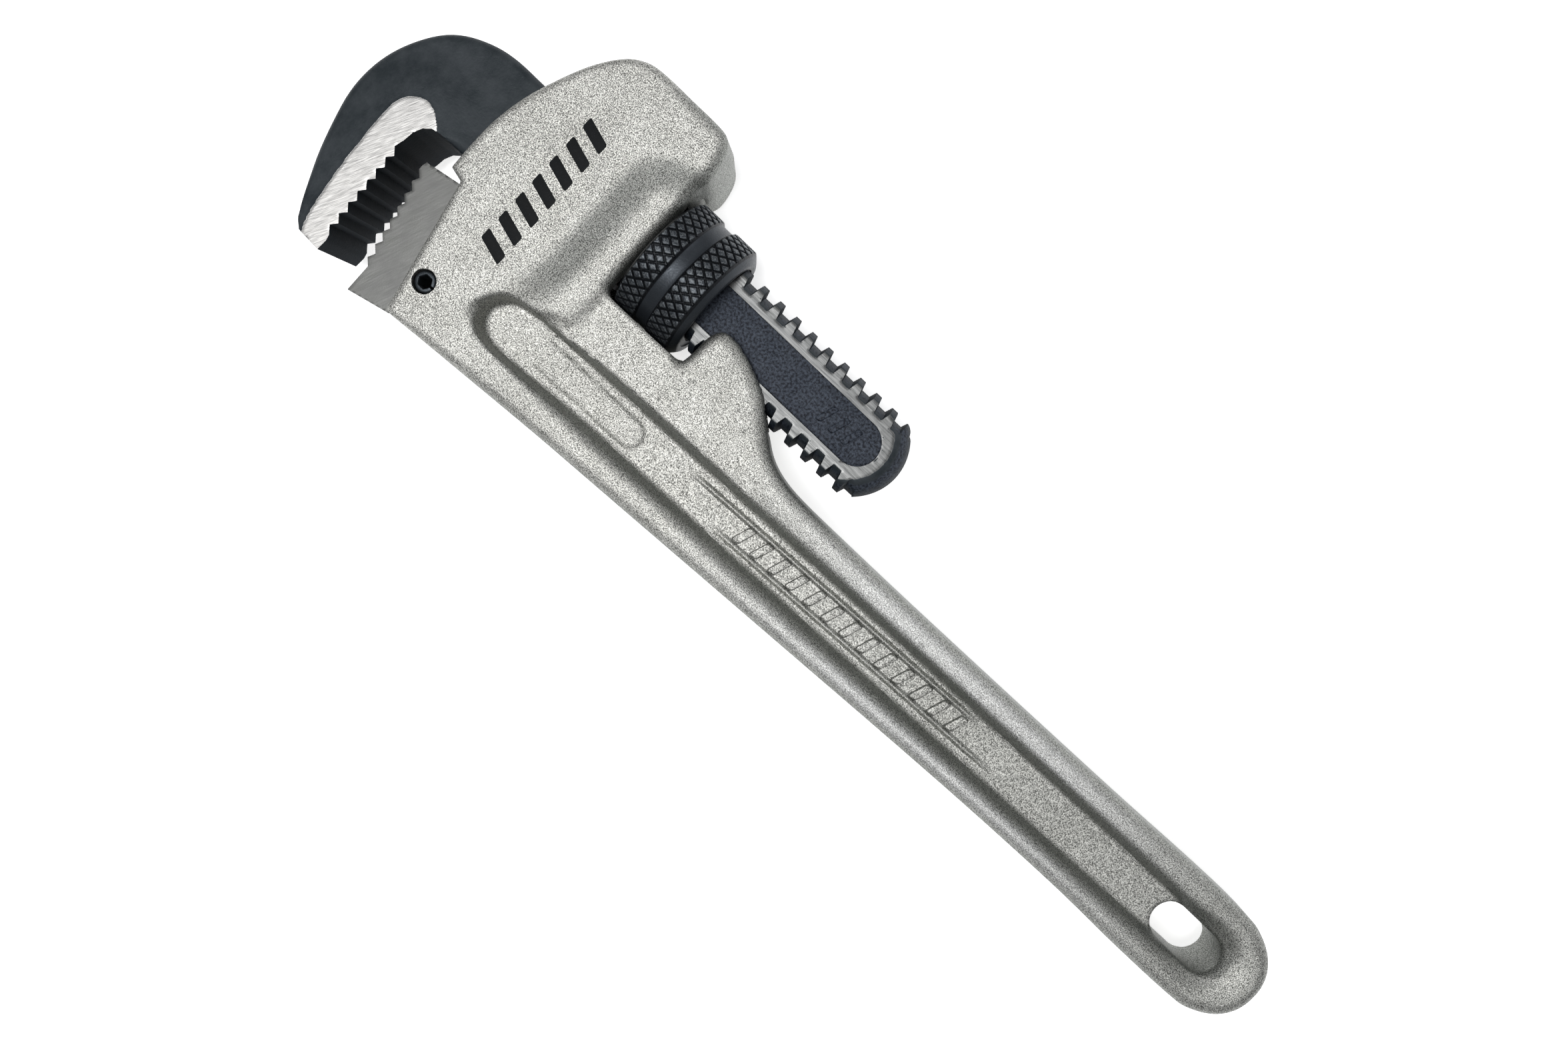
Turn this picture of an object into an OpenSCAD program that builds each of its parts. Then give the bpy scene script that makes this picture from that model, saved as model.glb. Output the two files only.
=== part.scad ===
// Straight pipe wrench of the 10 inch size: a cast handle with an open housing, a forged hook
// jaw whose threaded shank slides through it, a knurled nut that drives the shank, a pinned
// heel jaw, and the springs that hold the hook jaw open.
//
// The wrench lies on its side. +X runs along the shank towards the hanging hole, +Y towards
// the back of the housing and +Z out of the wrench's side. The origin is under the middle of
// the bounding box. Inside the modules all sizes are in the shank's own frame: x = 0 on the
// nut, y = 0 on the shank's axis and z = 0 on the middle plane.

/* [Handle] */
// Thickness across the housing's two side faces
housing_t = 26.4; // [26:0.2:28]
// Thickness across the grip's rails and the horn's cheeks
grip_t = 17.6; // [16.8:0.2:20]
// Thickness of the web between the grip's rails
web_t = 8; // [6:0.5:10]
// Length of the hanging hole
hang_hole_l = 15; // [11:0.5:15]
// Width of the hanging hole
hang_hole_w = 7.9; // [5:0.1:8]

/* [Jaws] */
// Thickness of the hook jaw's head and of the heel jaw
jaw_t = 18; // [16:0.2:18.2]
// Distance from one jaw tooth to the next
tooth_pitch = 2.7; // [2.5:0.05:2.8]
// Depth of the hook jaw's teeth
hook_tooth_depth = 1.1; // [0.6:0.1:1.4]
// Depth of the heel jaw's teeth
heel_tooth_depth = 0.95; // [0.6:0.1:1.4]
// Diameter of the spring pin through the heel jaw
pin_d = 4.2; // [3.6:0.1:4.8]

/* [Screw] */
// Pitch of the screw, six threads to the inch
thread_pitch = 4.233; // [4.1:0.001:4.3]
// Radius of the screw over its crests
crest_r = 9.6; // [9.4:0.05:9.6]
// Radius of the screw at its roots
root_r = 8.05; // [7.8:0.05:8.3]
// Thickness of the shank across its two flats
shank_t = 10.6; // [9.6:0.1:10.8]
// Radius of the nut over its knurled bands
nut_r = 13; // [12.6:0.1:13]
// Gap that the nut's thread leaves round the screw's thread
thread_play = 0.2; // [0.15:0.05:0.3]

/* [Springs] */
// Thickness of the flat spring
flat_spring_t = 1; // [0.6:0.1:1.1]
// Wire diameter of the coil spring
wire_d = 1.2; // [0.8:0.1:1.3]
// Number of turns of the coil spring
coil_turns = 5; // [4:1:6]

/* [Hidden] */

// Colours
cast_aluminium = [0.74, 0.74, 0.71];
black_oxide = [0.19, 0.21, 0.22];
hardened_steel = [0.49, 0.49, 0.48];
spring_steel = [0.42, 0.43, 0.45];

// Ends of the bounding box in the shank's frame
hook_left = -70.2;
grip_right = 170.4;
housing_top = 24.2;
heel_bottom = -44.9;

// Places along the shank
window_left = -9.6;
window_right = 9.2;
nut_left = -9;
nut_right = 6.1;
crest_x = 2.1;
thread_start = -26;
shank_end = 53.5;
neck_end = -38;

// Passage through the housing
mouth_right = -33.2;
passage_half_t = 5.8;
passage_top = 9.9;
passage_bottom = -12.4;
neck_bottom = -12.1;
neck_top = 7.8;
mouth_half_t = 9.4;

// Heel jaw's back face, which leans against the front of the housing
heel_back_top = [-42, -16.1];
heel_back_bottom = [-36.4, -42.2];
pin_at = [-34, -33.5];
heel_tongue_half_t = 4;

// Coil spring and its pocket under the shank
coil_x = -27;
coil_mean_r = 3.35;
pocket_r = 4.4;
pocket_floor = -21.6;
flat_spring_top = -9.85;
flat_spring_left = -32;
flat_spring_right = -11.5;

// Grip's round end
end_centre = [156.5, -24.6];
end_r = [13.9, 11];
end_power = 2.2;

// Turns the shank's frame into the part's frame
module placed() {
  translate([-(hook_left + grip_right) / 2, -(housing_top + heel_bottom) / 2, housing_t / 2])
    children();
}

// Plate of thickness t, centred on the middle plane, with the given outline
module plate(outline, t) {
  translate([0, 0, -t / 2])
    linear_extrude(t)
      polygon(outline);
}

// Body turned about the shank's axis from a profile of [x, radius] points
module turned(profile) {
  rotate([0, 90, 0])
    rotate_extrude($fn = 96)
      polygon([for (p = profile) [p[1], p[0]]]);
}

// Points on the round end of the grip, from its back edge to its front edge
function grip_end() = [
  for (a = [90:-7.5:-90])
    [end_centre[0] + end_r[0] * pow(cos(a), 2 / end_power),
     end_centre[1] + end_r[1] * sign(a) * pow(abs(sin(a)), 2 / end_power)]
];

// Row of teeth from a first crest towards an end point; each tooth is a crest and a root
function teeth(first, last, depth) =
  let (run = last - first,
       span = norm(run),
       along = run / span,
       inward = [-along[1], along[0]],
       count = floor(span / tooth_pitch))
  [for (i = [0:count - 1])
    for (step = [0, 1])
      first + along * (i + 0.55 * step) * tooth_pitch + inward * depth * step];

// ---- Handle -------------------------------------------------------------------------------

// Edge of the grip and horn, from the window's floor round the end and back to the housing
function grip_outline() = concat(
  [[-30, -12.3], [window_right, -12.3], [9.6, -4.8], [10.6, -2.6], [12.6, -1.8], [16, -2.3],
   [20, -3.6], [24.5, -5.7], [28, -8.6], [31, -11.1], [34, -13.1], [37.5, -14.4], [42, -15.1],
   [50, -15.3], [75, -15.2], [125, -14.4], [150, -13.7]],
  grip_end(),
  [[145, -35.6], [128, -35.4], [100, -36.1], [57, -38.1], [10, -40.4], [-18, -41.7], [-30, -42.3]]);

// Edge of the recess between the rails
recess_outline = [
  [-22.5, -26.2], [-20, -24.7], [-15, -24], [0, -23.2], [50, -21.9], [100, -20.7], [160, -19.9],
  [161.8, -21], [161.8, -28.2], [160, -29.4], [100, -31.2], [50, -32.6], [0, -33.8],
  [-15, -34.2], [-20, -33.8], [-22.5, -32.6], [-24, -30.8], [-24, -28.2]];

// Edge of the housing's two side faces
housing_outline = [
  [window_left, -22.4], [window_left, 13.8], [-8.4, 14.2], [-8.8, 18.4], [-9.9, 21.6],
  [-11.6, 23.5], [-13.8, housing_top], [-28, housing_top], [-31.2, 23.5], [-34.2, 21.8],
  [-37, 18.6], [-39.6, 14.2], [-42, 8.4], [-43.8, 3], [-45, -3.6], [-45.2, -10], [-45, -15.3],
  heel_back_top, heel_back_bottom, [-35, -42.8], [-28, -42.2], [-28, -30], [-24, -24.6],
  [-18, -22.8]];

// Shoulder where the housing's side faces run down into the front rail
module front_shoulder() {
  intersection() {
    plate([[-28.5, -33.6], [2, -33.6], [2, -40.8], [-28.5, -42.2]], housing_t);
    rotate([90, 0, 0])
      linear_extrude(60)
        polygon([[-28.5, -housing_t / 2], [-28.5, housing_t / 2], [-24, housing_t / 2],
                 [2, grip_t / 2], [2, -grip_t / 2], [-24, -housing_t / 2]]);
  }
}

// Passage that the hook jaw's neck and shank slide in, with the spring's pocket under it
module passage() {
  translate([-60, -15.7, -mouth_half_t])
    cube([mouth_right + 60, passage_top + 15.7, 2 * mouth_half_t]);
  translate([mouth_right - 1, passage_bottom, -passage_half_t])
    cube([window_left - mouth_right + 2, passage_top - passage_bottom, 2 * passage_half_t]);
  translate([coil_x, passage_bottom + 1, 0])
    rotate([90, 0, 0])
      cylinder(h = passage_bottom + 1 - pocket_floor, r = pocket_r, $fn = 64);
}

// Room for the nut in the window, and the slot that the shank crosses between the cheeks
module window_and_slot() {
  translate([window_left, 0, 0])
    rotate([0, 90, 0])
      cylinder(h = window_right - window_left, r = nut_r + 0.5, $fn = 96);
  translate([window_right - 1, -10.4, -passage_half_t])
    cube([40, 20, 2 * passage_half_t]);
}

// Outline shared by the heel jaw's tongue and its slot, which is wider by gap on every side
function tongue_outline(gap) = [
  [-46, -26.8 + gap], [-34, -26.8 + gap], [-30.8 + gap, -29.6], [-30.8 + gap, -37],
  [-33.4, -39.4 - gap], [-42, -39.4 - gap]];

module hang_hole() {
  half = (hang_hole_l - hang_hole_w) / 2;
  linear_extrude(40, center = true)
    union() {
      for (side = [-1, 1])
        translate([154 + side * half, -25.1])
          circle(d = hang_hole_w, $fn = 48);
      translate([154 - half, -25.1 - hang_hole_w / 2])
        square([2 * half, hang_hole_w]);
    }
}

module handle() {
  color(cast_aluminium)
    difference() {
      union() {
        difference() {
          plate(grip_outline(), grip_t);
          for (side = [-1, 1])
            translate([0, 0, side * (web_t + grip_t) / 2])
              plate(recess_outline, grip_t);
        }
        plate(housing_outline, housing_t);
        front_shoulder();
      }
      passage();
      window_and_slot();
      plate(tongue_outline(0.15), 2 * heel_tongue_half_t + 0.2);
      translate([pin_at[0], pin_at[1], -housing_t])
        cylinder(h = 2 * housing_t, d = pin_d, $fn = 48);
      hang_hole();
    }
}

// ---- Jaws ---------------------------------------------------------------------------------

// Heel jaw's block, clear of the housing by a hair at its back
heel_outline = concat(
  [heel_back_top + [-0.1, -0.1], [-49.9, -17.6]],
  teeth([-50.2, -19.4], [-45.2, -42.6], heel_tooth_depth),
  [[-44.9, heel_bottom], heel_back_bottom + [-0.1, -0.7]]);

module heel_jaw() {
  color(hardened_steel)
    difference() {
      union() {
        plate(heel_outline, jaw_t);
        intersection() {
          plate(tongue_outline(0), 2 * heel_tongue_half_t);
          translate([-43, -50, -20])
            cube([30, 40, 40]);
        }
      }
      translate([pin_at[0], pin_at[1], -20])
        cylinder(h = 40, d = pin_d + 0.1, $fn = 48);
    }
}

// Slotted tube, pressed through the housing and the heel jaw's tongue
module heel_jaw_pin() {
  length = housing_t - 1;
  color(black_oxide)
    translate([pin_at[0], pin_at[1], -length / 2])
      difference() {
        cylinder(h = length, d = pin_d, $fn = 48);
        translate([0, 0, -1])
          cylinder(h = length + 2, d = pin_d * 0.62, $fn = 48);
        translate([0, -0.25, -1])
          cube([pin_d, 0.5, length + 2]);
      }
}

// Hook jaw's head and neck, from the neck's end over the back, round the beak and up the teeth
hook_outline = concat(
  [[neck_end, neck_bottom], [neck_end, neck_top], [-50.9, 7.5], [-55.5, 6.5], [-60, 4.5],
   [-63.6, 1.8], [-66.7, -2.4], [-69.2, -7.4], [hook_left, -12.6], [-70, -18], [-68.6, -24],
   [-66.2, -31.2], [-63.4, -37], [-60.8, -41.4], [-59, -43], [-54, -43.3], [-53.9, -41]],
  teeth([-54.2, -39.8], [-55.2, -17.8], hook_tooth_depth),
  [[-55.7, -17.6], [-55.4, -15.4], [-54.6, -13.6], [-53.3, -12.5], [-51.6, neck_bottom]]);

// One ring of the screw's thread, leaning by the lead angle; side is +1 at the back edge
module thread_ring(x, side) {
  lead_angle = atan(thread_pitch / (PI * (crest_r + root_r)));
  translate([x, 0, 0])
    rotate([0, side * lead_angle, 0])
      turned([[-1.3, root_r - 0.6], [-1.15, root_r], [-0.65, crest_r], [0.65, crest_r],
              [1.15, root_r], [1.3, root_r - 0.6]]);
}

// Thread on one edge of the shank; the front edge's ridges lie half a pitch further on
module thread_edge(side) {
  first = thread_start + (crest_x - thread_start) % thread_pitch + (side < 0 ? thread_pitch / 2 : 0);
  intersection() {
    union()
      for (x = [first:thread_pitch:shank_end - 4])
        thread_ring(x, side);
    translate([thread_start - 3, side > 0 ? 3 : -20, -shank_t / 2])
      cube([shank_end - thread_start + 9, 17, shank_t]);
  }
}

// Round bar, a little wider than the screw, whose domed end trims the screw's
module domed_bar() {
  r = crest_r + 0.6;
  dome_l = 7;
  turned(concat(
    [[neck_end - 1, 0], [neck_end - 1, r]],
    [for (a = [90:-15:15]) [shank_end - dome_l * (1 - cos(a)), r * sin(a)]],
    [[shank_end, 0]]));
}

// What is cut away to bevel the shank's end towards its two flats
module end_bevels() {
  for (side = [-1, 1])
    rotate([90, 0, 0])
      linear_extrude(30, center = true)
        polygon([for (p = [[-3.6, 5.6], [-1.4, 3.6], [-0.3, 1.4], [9, 1.4], [9, 9], [-3.6, 9]])
          [shank_end + p[0], side * p[1]]]);
}

// Long sunken panel in each flat of the shank
module shank_panels() {
  for (side = [-1, 1])
    translate([0, 0, side * (shank_t / 2 + 3.8)])
      linear_extrude(10, center = true)
        union() {
          translate([-30, -5])
            square([73.3, 9.9]);
          translate([43.3, -0.05])
            circle(r = 4.95, $fn = 48);
        }
}

module hook_jaw() {
  color(black_oxide)
    union() {
      plate(hook_outline, jaw_t);
      difference() {
        intersection() {
          union() {
            intersection() {
              translate([neck_end - 0.5, 0, 0])
                rotate([0, 90, 0])
                  cylinder(h = shank_end - neck_end + 2, r = root_r, $fn = 96);
              translate([neck_end - 1, -20, -shank_t / 2])
                cube([110, 40, shank_t]);
            }
            thread_edge(1);
            thread_edge(-1);
          }
          domed_bar();
        }
        shank_panels();
        end_bevels();
      }
    }
}

// ---- Nut ----------------------------------------------------------------------------------

// Ridge of the nut's thread: a right-hand helix that lies in the screw's grooves.
// from_turn and to_turn count from the groove next to crest_x at the back edge.
module nut_thread(from_turn, to_turn) {
  steps = 28;
  count = round((to_turn - from_turn) * steps);
  outer = crest_r + 0.6;
  inner = root_r + thread_play;
  half_out = thread_pitch / 2 - 0.65 - 0.15;
  half_in = thread_pitch / 2 - 1.15 - 0.1;
  section = [[outer, -half_out], [inner, -half_in], [inner, half_in], [outer, half_out]];
  points = [
    for (i = [0:count])
      let (turn = from_turn + i / steps)
      for (p = section)
        [crest_x + thread_pitch * (turn + 0.5) + p[1], p[0] * cos(360 * turn), p[0] * sin(360 * turn)]];
  sides = [
    for (i = [0:count - 1])
      for (j = [0:3])
        let (k = (j + 1) % 4)
        each [[4 * i + j, 4 * i + 4 + k, 4 * i + k], [4 * i + j, 4 * i + 4 + j, 4 * i + 4 + k]]];
  ends = [[0, 1, 2, 3], [4 * count + 3, 4 * count + 2, 4 * count + 1, 4 * count]];
  polyhedron(points, concat(sides, ends));
}

module adjusting_nut() {
  bore_r = crest_r + thread_play + 0.1;
  groove_r = nut_r - 0.6;
  color(black_oxide)
    union() {
      turned([[nut_left, bore_r], [nut_left, nut_r - 0.7], [nut_left + 0.6, nut_r], [-3.9, nut_r],
              [-3.5, groove_r], [-0.8, groove_r], [-0.4, nut_r], [4.5, nut_r],
              [nut_right, nut_r - 2.1], [nut_right, bore_r]]);
      nut_thread(-2.74, -0.09);
    }
}

// ---- Springs ------------------------------------------------------------------------------

// Strip between the screw's front edge and the coil spring, with a turned-down front end
module flat_spring() {
  width = 9;
  color(spring_steel)
    difference() {
      translate([flat_spring_left, flat_spring_top - flat_spring_t, -width / 2])
        cube([flat_spring_right - flat_spring_left, flat_spring_t, width]);
      translate([coil_x, flat_spring_top + 1, 0])
        rotate([90, 0, 0])
          cylinder(h = flat_spring_t + 2, r = 1.2, $fn = 48);
    }
}

// Rivet in the flat spring whose head centres the coil spring's top turn, with room to rock
module spring_rivet() {
  color(spring_steel)
    translate([coil_x, flat_spring_top, 0])
      rotate([90, 0, 0])
        union() {
          cylinder(h = flat_spring_t, r = 1.2, $fn = 48);
          translate([0, 0, flat_spring_t])
            cylinder(h = 0.7, r = coil_mean_r - wire_d / 2 - 1, $fn = 48);
        }
}

// Helix of round wire from the pocket's floor up to the flat spring
module coil_spring() {
  steps = 16;
  sides = 8;
  count = coil_turns * steps;
  wire_r = wire_d / 2;
  bottom = pocket_floor + wire_r + 0.05;
  rise = flat_spring_top - flat_spring_t - wire_r - 0.05 - bottom;
  points = [
    for (i = [0:count])
      let (a = 360 * i / steps)
      for (j = [0:sides - 1])
        let (b = 360 * j / sides, r = coil_mean_r + wire_r * cos(b))
        [coil_x + r * cos(a), bottom + rise * i / count + wire_r * sin(b), r * sin(a)]];
  skin = [
    for (i = [0:count - 1])
      for (j = [0:sides - 1])
        let (k = (j + 1) % sides)
        each [[sides * i + j, sides * i + sides + k, sides * i + k],
              [sides * i + j, sides * i + sides + j, sides * i + sides + k]]];
  ends = [[for (j = [0:sides - 1]) j], [for (j = [sides - 1:-1:0]) sides * count + j]];
  color(spring_steel)
    polyhedron(points, concat(skin, ends));
}

placed() handle();
placed() heel_jaw();
placed() heel_jaw_pin();
placed() hook_jaw();
placed() adjusting_nut();
placed() flat_spring();
placed() coil_spring();
placed() spring_rivet();
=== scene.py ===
"""Looks of the pipe wrench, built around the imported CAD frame.

The shapes are written in the shank's own frame, in millimetres: x along the shank towards the
hanging hole, y towards the back of the housing, z out of the wrench's side. placed() turns them
into the part's frame in metres. Castings and forgings are signed distance functions that
contour() turns into closed meshes; turned and drawn pieces are built ring by ring.
"""

import math

import bpy
import numpy as np
from mathutils import Euler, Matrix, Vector


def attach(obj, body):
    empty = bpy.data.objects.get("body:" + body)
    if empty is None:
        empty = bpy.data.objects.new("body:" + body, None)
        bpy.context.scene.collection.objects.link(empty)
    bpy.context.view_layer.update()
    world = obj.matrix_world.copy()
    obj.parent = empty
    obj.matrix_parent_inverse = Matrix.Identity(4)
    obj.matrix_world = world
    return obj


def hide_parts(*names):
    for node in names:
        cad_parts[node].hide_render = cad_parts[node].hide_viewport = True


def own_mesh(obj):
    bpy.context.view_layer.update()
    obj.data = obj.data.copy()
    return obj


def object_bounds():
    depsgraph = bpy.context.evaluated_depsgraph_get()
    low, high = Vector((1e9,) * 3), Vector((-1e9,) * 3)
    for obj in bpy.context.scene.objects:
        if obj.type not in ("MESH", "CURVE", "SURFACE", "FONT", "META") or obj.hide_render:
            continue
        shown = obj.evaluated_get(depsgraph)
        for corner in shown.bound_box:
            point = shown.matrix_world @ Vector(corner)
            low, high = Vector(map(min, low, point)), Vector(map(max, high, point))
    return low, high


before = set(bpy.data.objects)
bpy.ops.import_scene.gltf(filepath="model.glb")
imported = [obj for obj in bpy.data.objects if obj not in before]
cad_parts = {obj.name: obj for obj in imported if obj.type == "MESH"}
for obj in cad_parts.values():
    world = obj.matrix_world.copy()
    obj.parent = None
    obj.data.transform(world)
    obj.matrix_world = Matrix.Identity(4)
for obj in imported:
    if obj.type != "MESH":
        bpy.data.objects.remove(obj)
CAD_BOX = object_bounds()

# ---- Sizes that the shapes share, in millimetres ------------------------------------------

MM = 0.001
HOUSING_T = 26.4
HOOK_LEFT = -70.2
HEEL_BOTTOM = -44.9
SHIFT = np.array(CAD_BOX[0]) / MM - np.array([HOOK_LEFT, HEEL_BOTTOM, -HOUSING_T / 2])

# Heights over the wrench's middle plane.
FACE_Z = 13.12  # the housing's faces
CHEEK_Z = 8.75  # the horn's cheeks and the grip's rails
FLOOR_Z = 4.0  # the floor of the grip's recess
JAW_Z = 9.0  # the side faces of both jaws
SHANK_Z = 5.3  # the flats of the threaded shank
PANEL_Z = 3.8  # the panels sunk in those flats
TONGUE_Z = 4.0  # the heel jaw's tongue inside the housing
PASSAGE_Z = 5.8  # the walls of the shank's passage

WINDOW_LEFT = -9.6
WINDOW_RIGHT = 9.2
WINDOW_FLOOR = -12.3
PITCH = 4.233
CREST_X = 2.1
CREST_R = 9.6
ROOT_R = 8.05
NUT_R = 13.0
PIN_AT = (-34.0, -33.5)
PIN_R = 2.1
HOLE_AT = (154.0, -25.1)
HOLE_R = 3.95
HOLE_HALF = 3.55
COIL_X = -27.0
POCKET_FLOOR = -21.6
STRIP_TOP = -9.85

HEEL_BACK_TOP = (-42.0, -16.1)
HEEL_BACK_BOTTOM = (-36.4, -42.2)
TOOTH_PITCH = 2.7


# ---- Distance functions -------------------------------------------------------------------


def ramp(value, start, end):
    """0 at start, 1 at end, with a smooth S between them."""
    t = np.clip((value - start) / (end - start), 0.0, 1.0)
    return t * t * (3 - 2 * t)


def both(a, b, r):
    """Intersection of two distances, with its outer edge rounded to radius r."""
    return np.minimum(np.maximum(a, b), -r) + np.hypot(np.maximum(a + r, 0), np.maximum(b + r, 0))


def cut(a, b, r):
    """Distance a with b taken away, its lip rounded to radius r."""
    return both(a, -b, r)


def either(a, b, r):
    """Union of two distances, with a fillet of radius r between them."""
    return -both(-a, -b, r)


def block(x, y, z, low, high):
    """Distance to a box; only its planes are exact."""
    d = -np.inf
    for value, a, b in zip((x, y, z), low, high):
        d = np.maximum(d, np.abs(value - (a + b) / 2) - (b - a) / 2)
    return d


def capsule(x, y, start, end, r):
    """Distance in the plane to a bar with round ends."""
    (ax, ay), (bx, by) = start, end
    ex, ey = bx - ax, by - ay
    t = np.clip(((x - ax) * ex + (y - ay) * ey) / (ex * ex + ey * ey), 0, 1)
    return np.hypot(x - ax - ex * t, y - ay - ey * t) - r


def outline_distance(x, y, points):
    """Signed distance in the plane to a closed outline, negative inside."""
    near = np.full(np.broadcast(x, y).shape, np.inf)
    inside = np.zeros(near.shape, bool)
    for (ax, ay), (bx, by) in zip(points, np.roll(points, -1, axis=0)):
        ex, ey = bx - ax, by - ay
        px, py = x - ax, y - ay
        t = np.clip((px * ex + py * ey) / max(ex * ex + ey * ey, 1e-12), 0, 1)
        near = np.minimum(near, (px - ex * t) ** 2 + (py - ey * t) ** 2)
        if ay != by:
            inside ^= ((ay > y) != (by > y)) & (px < ex * py / ey)
    return np.sqrt(near) * np.where(inside, -1, 1)


def smooth_outline(points, corners=(), steps=5):
    """Closed curve through the key points; it may turn sharply only at the listed corners."""
    keys = np.array(points, float)
    count = len(keys)
    curve = []
    for i in range(count):
        p1, p2 = keys[i], keys[(i + 1) % count]
        p0 = p1 if i in corners else keys[i - 1]
        p3 = p2 if (i + 1) % count in corners else keys[(i + 2) % count]
        chord = np.linalg.norm(p2 - p1)
        m1 = (p2 - p0) / (chord + np.linalg.norm(p1 - p0)) * chord
        m2 = (p3 - p1) / (chord + np.linalg.norm(p3 - p2)) * chord
        for t in np.arange(steps) / steps:
            curve.append(
                p1 * (2 * t**3 - 3 * t**2 + 1) + m1 * (t**3 - 2 * t**2 + t)
                + p2 * (3 * t**2 - 2 * t**3) + m2 * (t**3 - t**2)
            )
    return np.array(curve)


class Field:
    """Distance to an outline, worked out once on a fine grid and read back between its nodes."""

    STEP = 0.25

    def __init__(self, points, margin=6.0):
        self.low = points.min(0) - margin
        size = points.max(0) + margin - self.low
        xs = self.low[0] + np.arange(int(size[0] / self.STEP) + 2) * self.STEP
        ys = self.low[1] + np.arange(int(size[1] / self.STEP) + 2) * self.STEP
        self.values = outline_distance(xs[:, None], ys[None, :], points)

    def __call__(self, x, y):
        """Distance at x, y; points off the grid take the value at its rim."""
        u = np.clip((x - self.low[0]) / self.STEP, 0, self.values.shape[0] - 1.001)
        v = np.clip((y - self.low[1]) / self.STEP, 0, self.values.shape[1] - 1.001)
        i, j = u.astype(int), v.astype(int)
        u, v = u - i, v - j
        g = self.values
        return (g[i, j] * (1 - u) + g[i + 1, j] * u) * (1 - v) + (
            g[i, j + 1] * (1 - u) + g[i + 1, j + 1] * u
        ) * v


# ---- Meshes -------------------------------------------------------------------------------

NORMAL_STEP = 0.02  # half the span over which a surface's slope is measured, in mm
SEARCH_STEPS = 4
FLAT_SHARE = 0.1  # of the largest eigenvalue: what a direction needs to count in the fit
BAR_CORNER = 0.28


def placed(points):
    """Points of the shank's frame, in mm, as points of the part's frame, in metres."""
    return (np.asarray(points, float) + SHIFT) * MM


def refined(shape, base, step, a, b):
    """Where the surface crosses the edges from base to base + step; a, b are their end values."""
    starts_inside = a < 0
    low, high = np.zeros(len(base)), np.ones(len(base))
    for _ in range(SEARCH_STEPS):
        t = low + (high - low) * np.clip(a / (a - b), 0.02, 0.98)
        f = shape(*(base + step * t[:, None]).T)
        same = (f < 0) == starts_inside
        low, a = np.where(same, t, low), np.where(same, f, a)
        high, b = np.where(same, high, t), np.where(same, b, f)
    t = low + (high - low) * a / (a - b)
    return base + step * t[:, None]


def crossings(shape, axes, value, axis, cell):
    """Where the surface crosses the grid's edges along one axis: points, normals, cells around."""
    step = np.eye(3, dtype=int)[axis]
    inside = value < 0
    near = np.take(inside, range(value.shape[axis] - 1), axis)
    far = np.take(inside, range(1, value.shape[axis]), axis)
    edge = np.argwhere(near != far)
    a, b = value[tuple(edge.T)], value[tuple((edge + step).T)]
    base = np.stack([axes[k][edge[:, k]] for k in range(3)], 1)
    point = refined(shape, base, step * cell, a, b)
    nudge = np.eye(3) * NORMAL_STEP
    normal = np.stack([shape(*(point + d).T) - shape(*(point - d).T) for d in nudge], 1)
    normal /= np.maximum(np.linalg.norm(normal, axis=1, keepdims=True), 1e-9)
    # The four cells around each edge, in the order that turns their face outwards.
    u, v = (axis + 1) % 3, (axis + 2) % 3
    ring = []
    for du, dv in ((-1, -1), (0, -1), (0, 0), (-1, 0)):
        c = edge.copy()
        c[:, u] += du
        c[:, v] += dv
        ring.append(np.ravel_multi_index(c.T, np.array(value.shape) - 1))
    ring = np.stack(ring, 1)
    ring[a >= 0] = ring[a >= 0][:, ::-1]
    return point, normal, ring


def best_points(point, normal, faces, count):
    """For each of count cells, the point that best lies on the planes found on its edges.

    Directions in which those planes hardly differ are left out of the fit, so that a vertex on
    a flat stays at the mean of its cell's crossings.
    """
    p, n = np.repeat(point, 4, 0), np.repeat(normal, 4, 0)
    owner = faces.ravel()

    def total(weights):
        return np.bincount(owner, weights, count)

    crossed = total(np.ones(len(owner)))
    centre = np.stack([total(p[:, k]) for k in range(3)], 1) / crossed[:, None]
    offset = (n * (p - centre[owner])).sum(1)
    rhs = np.stack([total(n[:, k] * offset) for k in range(3)], 1)
    matrix = np.stack(
        [np.stack([total(n[:, i] * n[:, j]) for j in range(3)], 1) for i in range(3)], 1
    )
    size, axis = np.linalg.eigh(matrix)
    keep = size > FLAT_SHARE * size[:, -1:]
    inverse = np.where(keep, 1 / np.where(keep, size, 1), 0)
    along = np.einsum("nji,nj->ni", axis, rhs) * inverse
    return centre + np.einsum("nij,nj->ni", axis, along)


def contour(shape, low, high, cell):
    """Closed mesh on the surface where shape is zero, keeping its sharp edges.

    Each grid cell that the surface crosses gets one vertex, and each crossed edge of the grid
    one face between the four cells around it.
    """
    axes = [np.arange(a, b + cell, cell) for a, b in zip(low, high)]
    value = np.broadcast_to(shape(*np.ix_(*axes)), [len(a) for a in axes])
    parts = [crossings(shape, axes, value, axis, cell) for axis in range(3)]
    point, normal, ring = (np.concatenate(p) for p in zip(*parts))
    cells, faces = np.unique(ring, return_inverse=True)
    faces = faces.reshape(-1, 4)
    vertex = best_points(point, normal, faces, len(cells))
    corner = np.stack(np.unravel_index(cells, np.array(value.shape) - 1), 1)
    corner = np.stack([axes[k][corner[:, k]] for k in range(3)], 1)
    return np.clip(vertex, corner, corner + cell), faces


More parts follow.
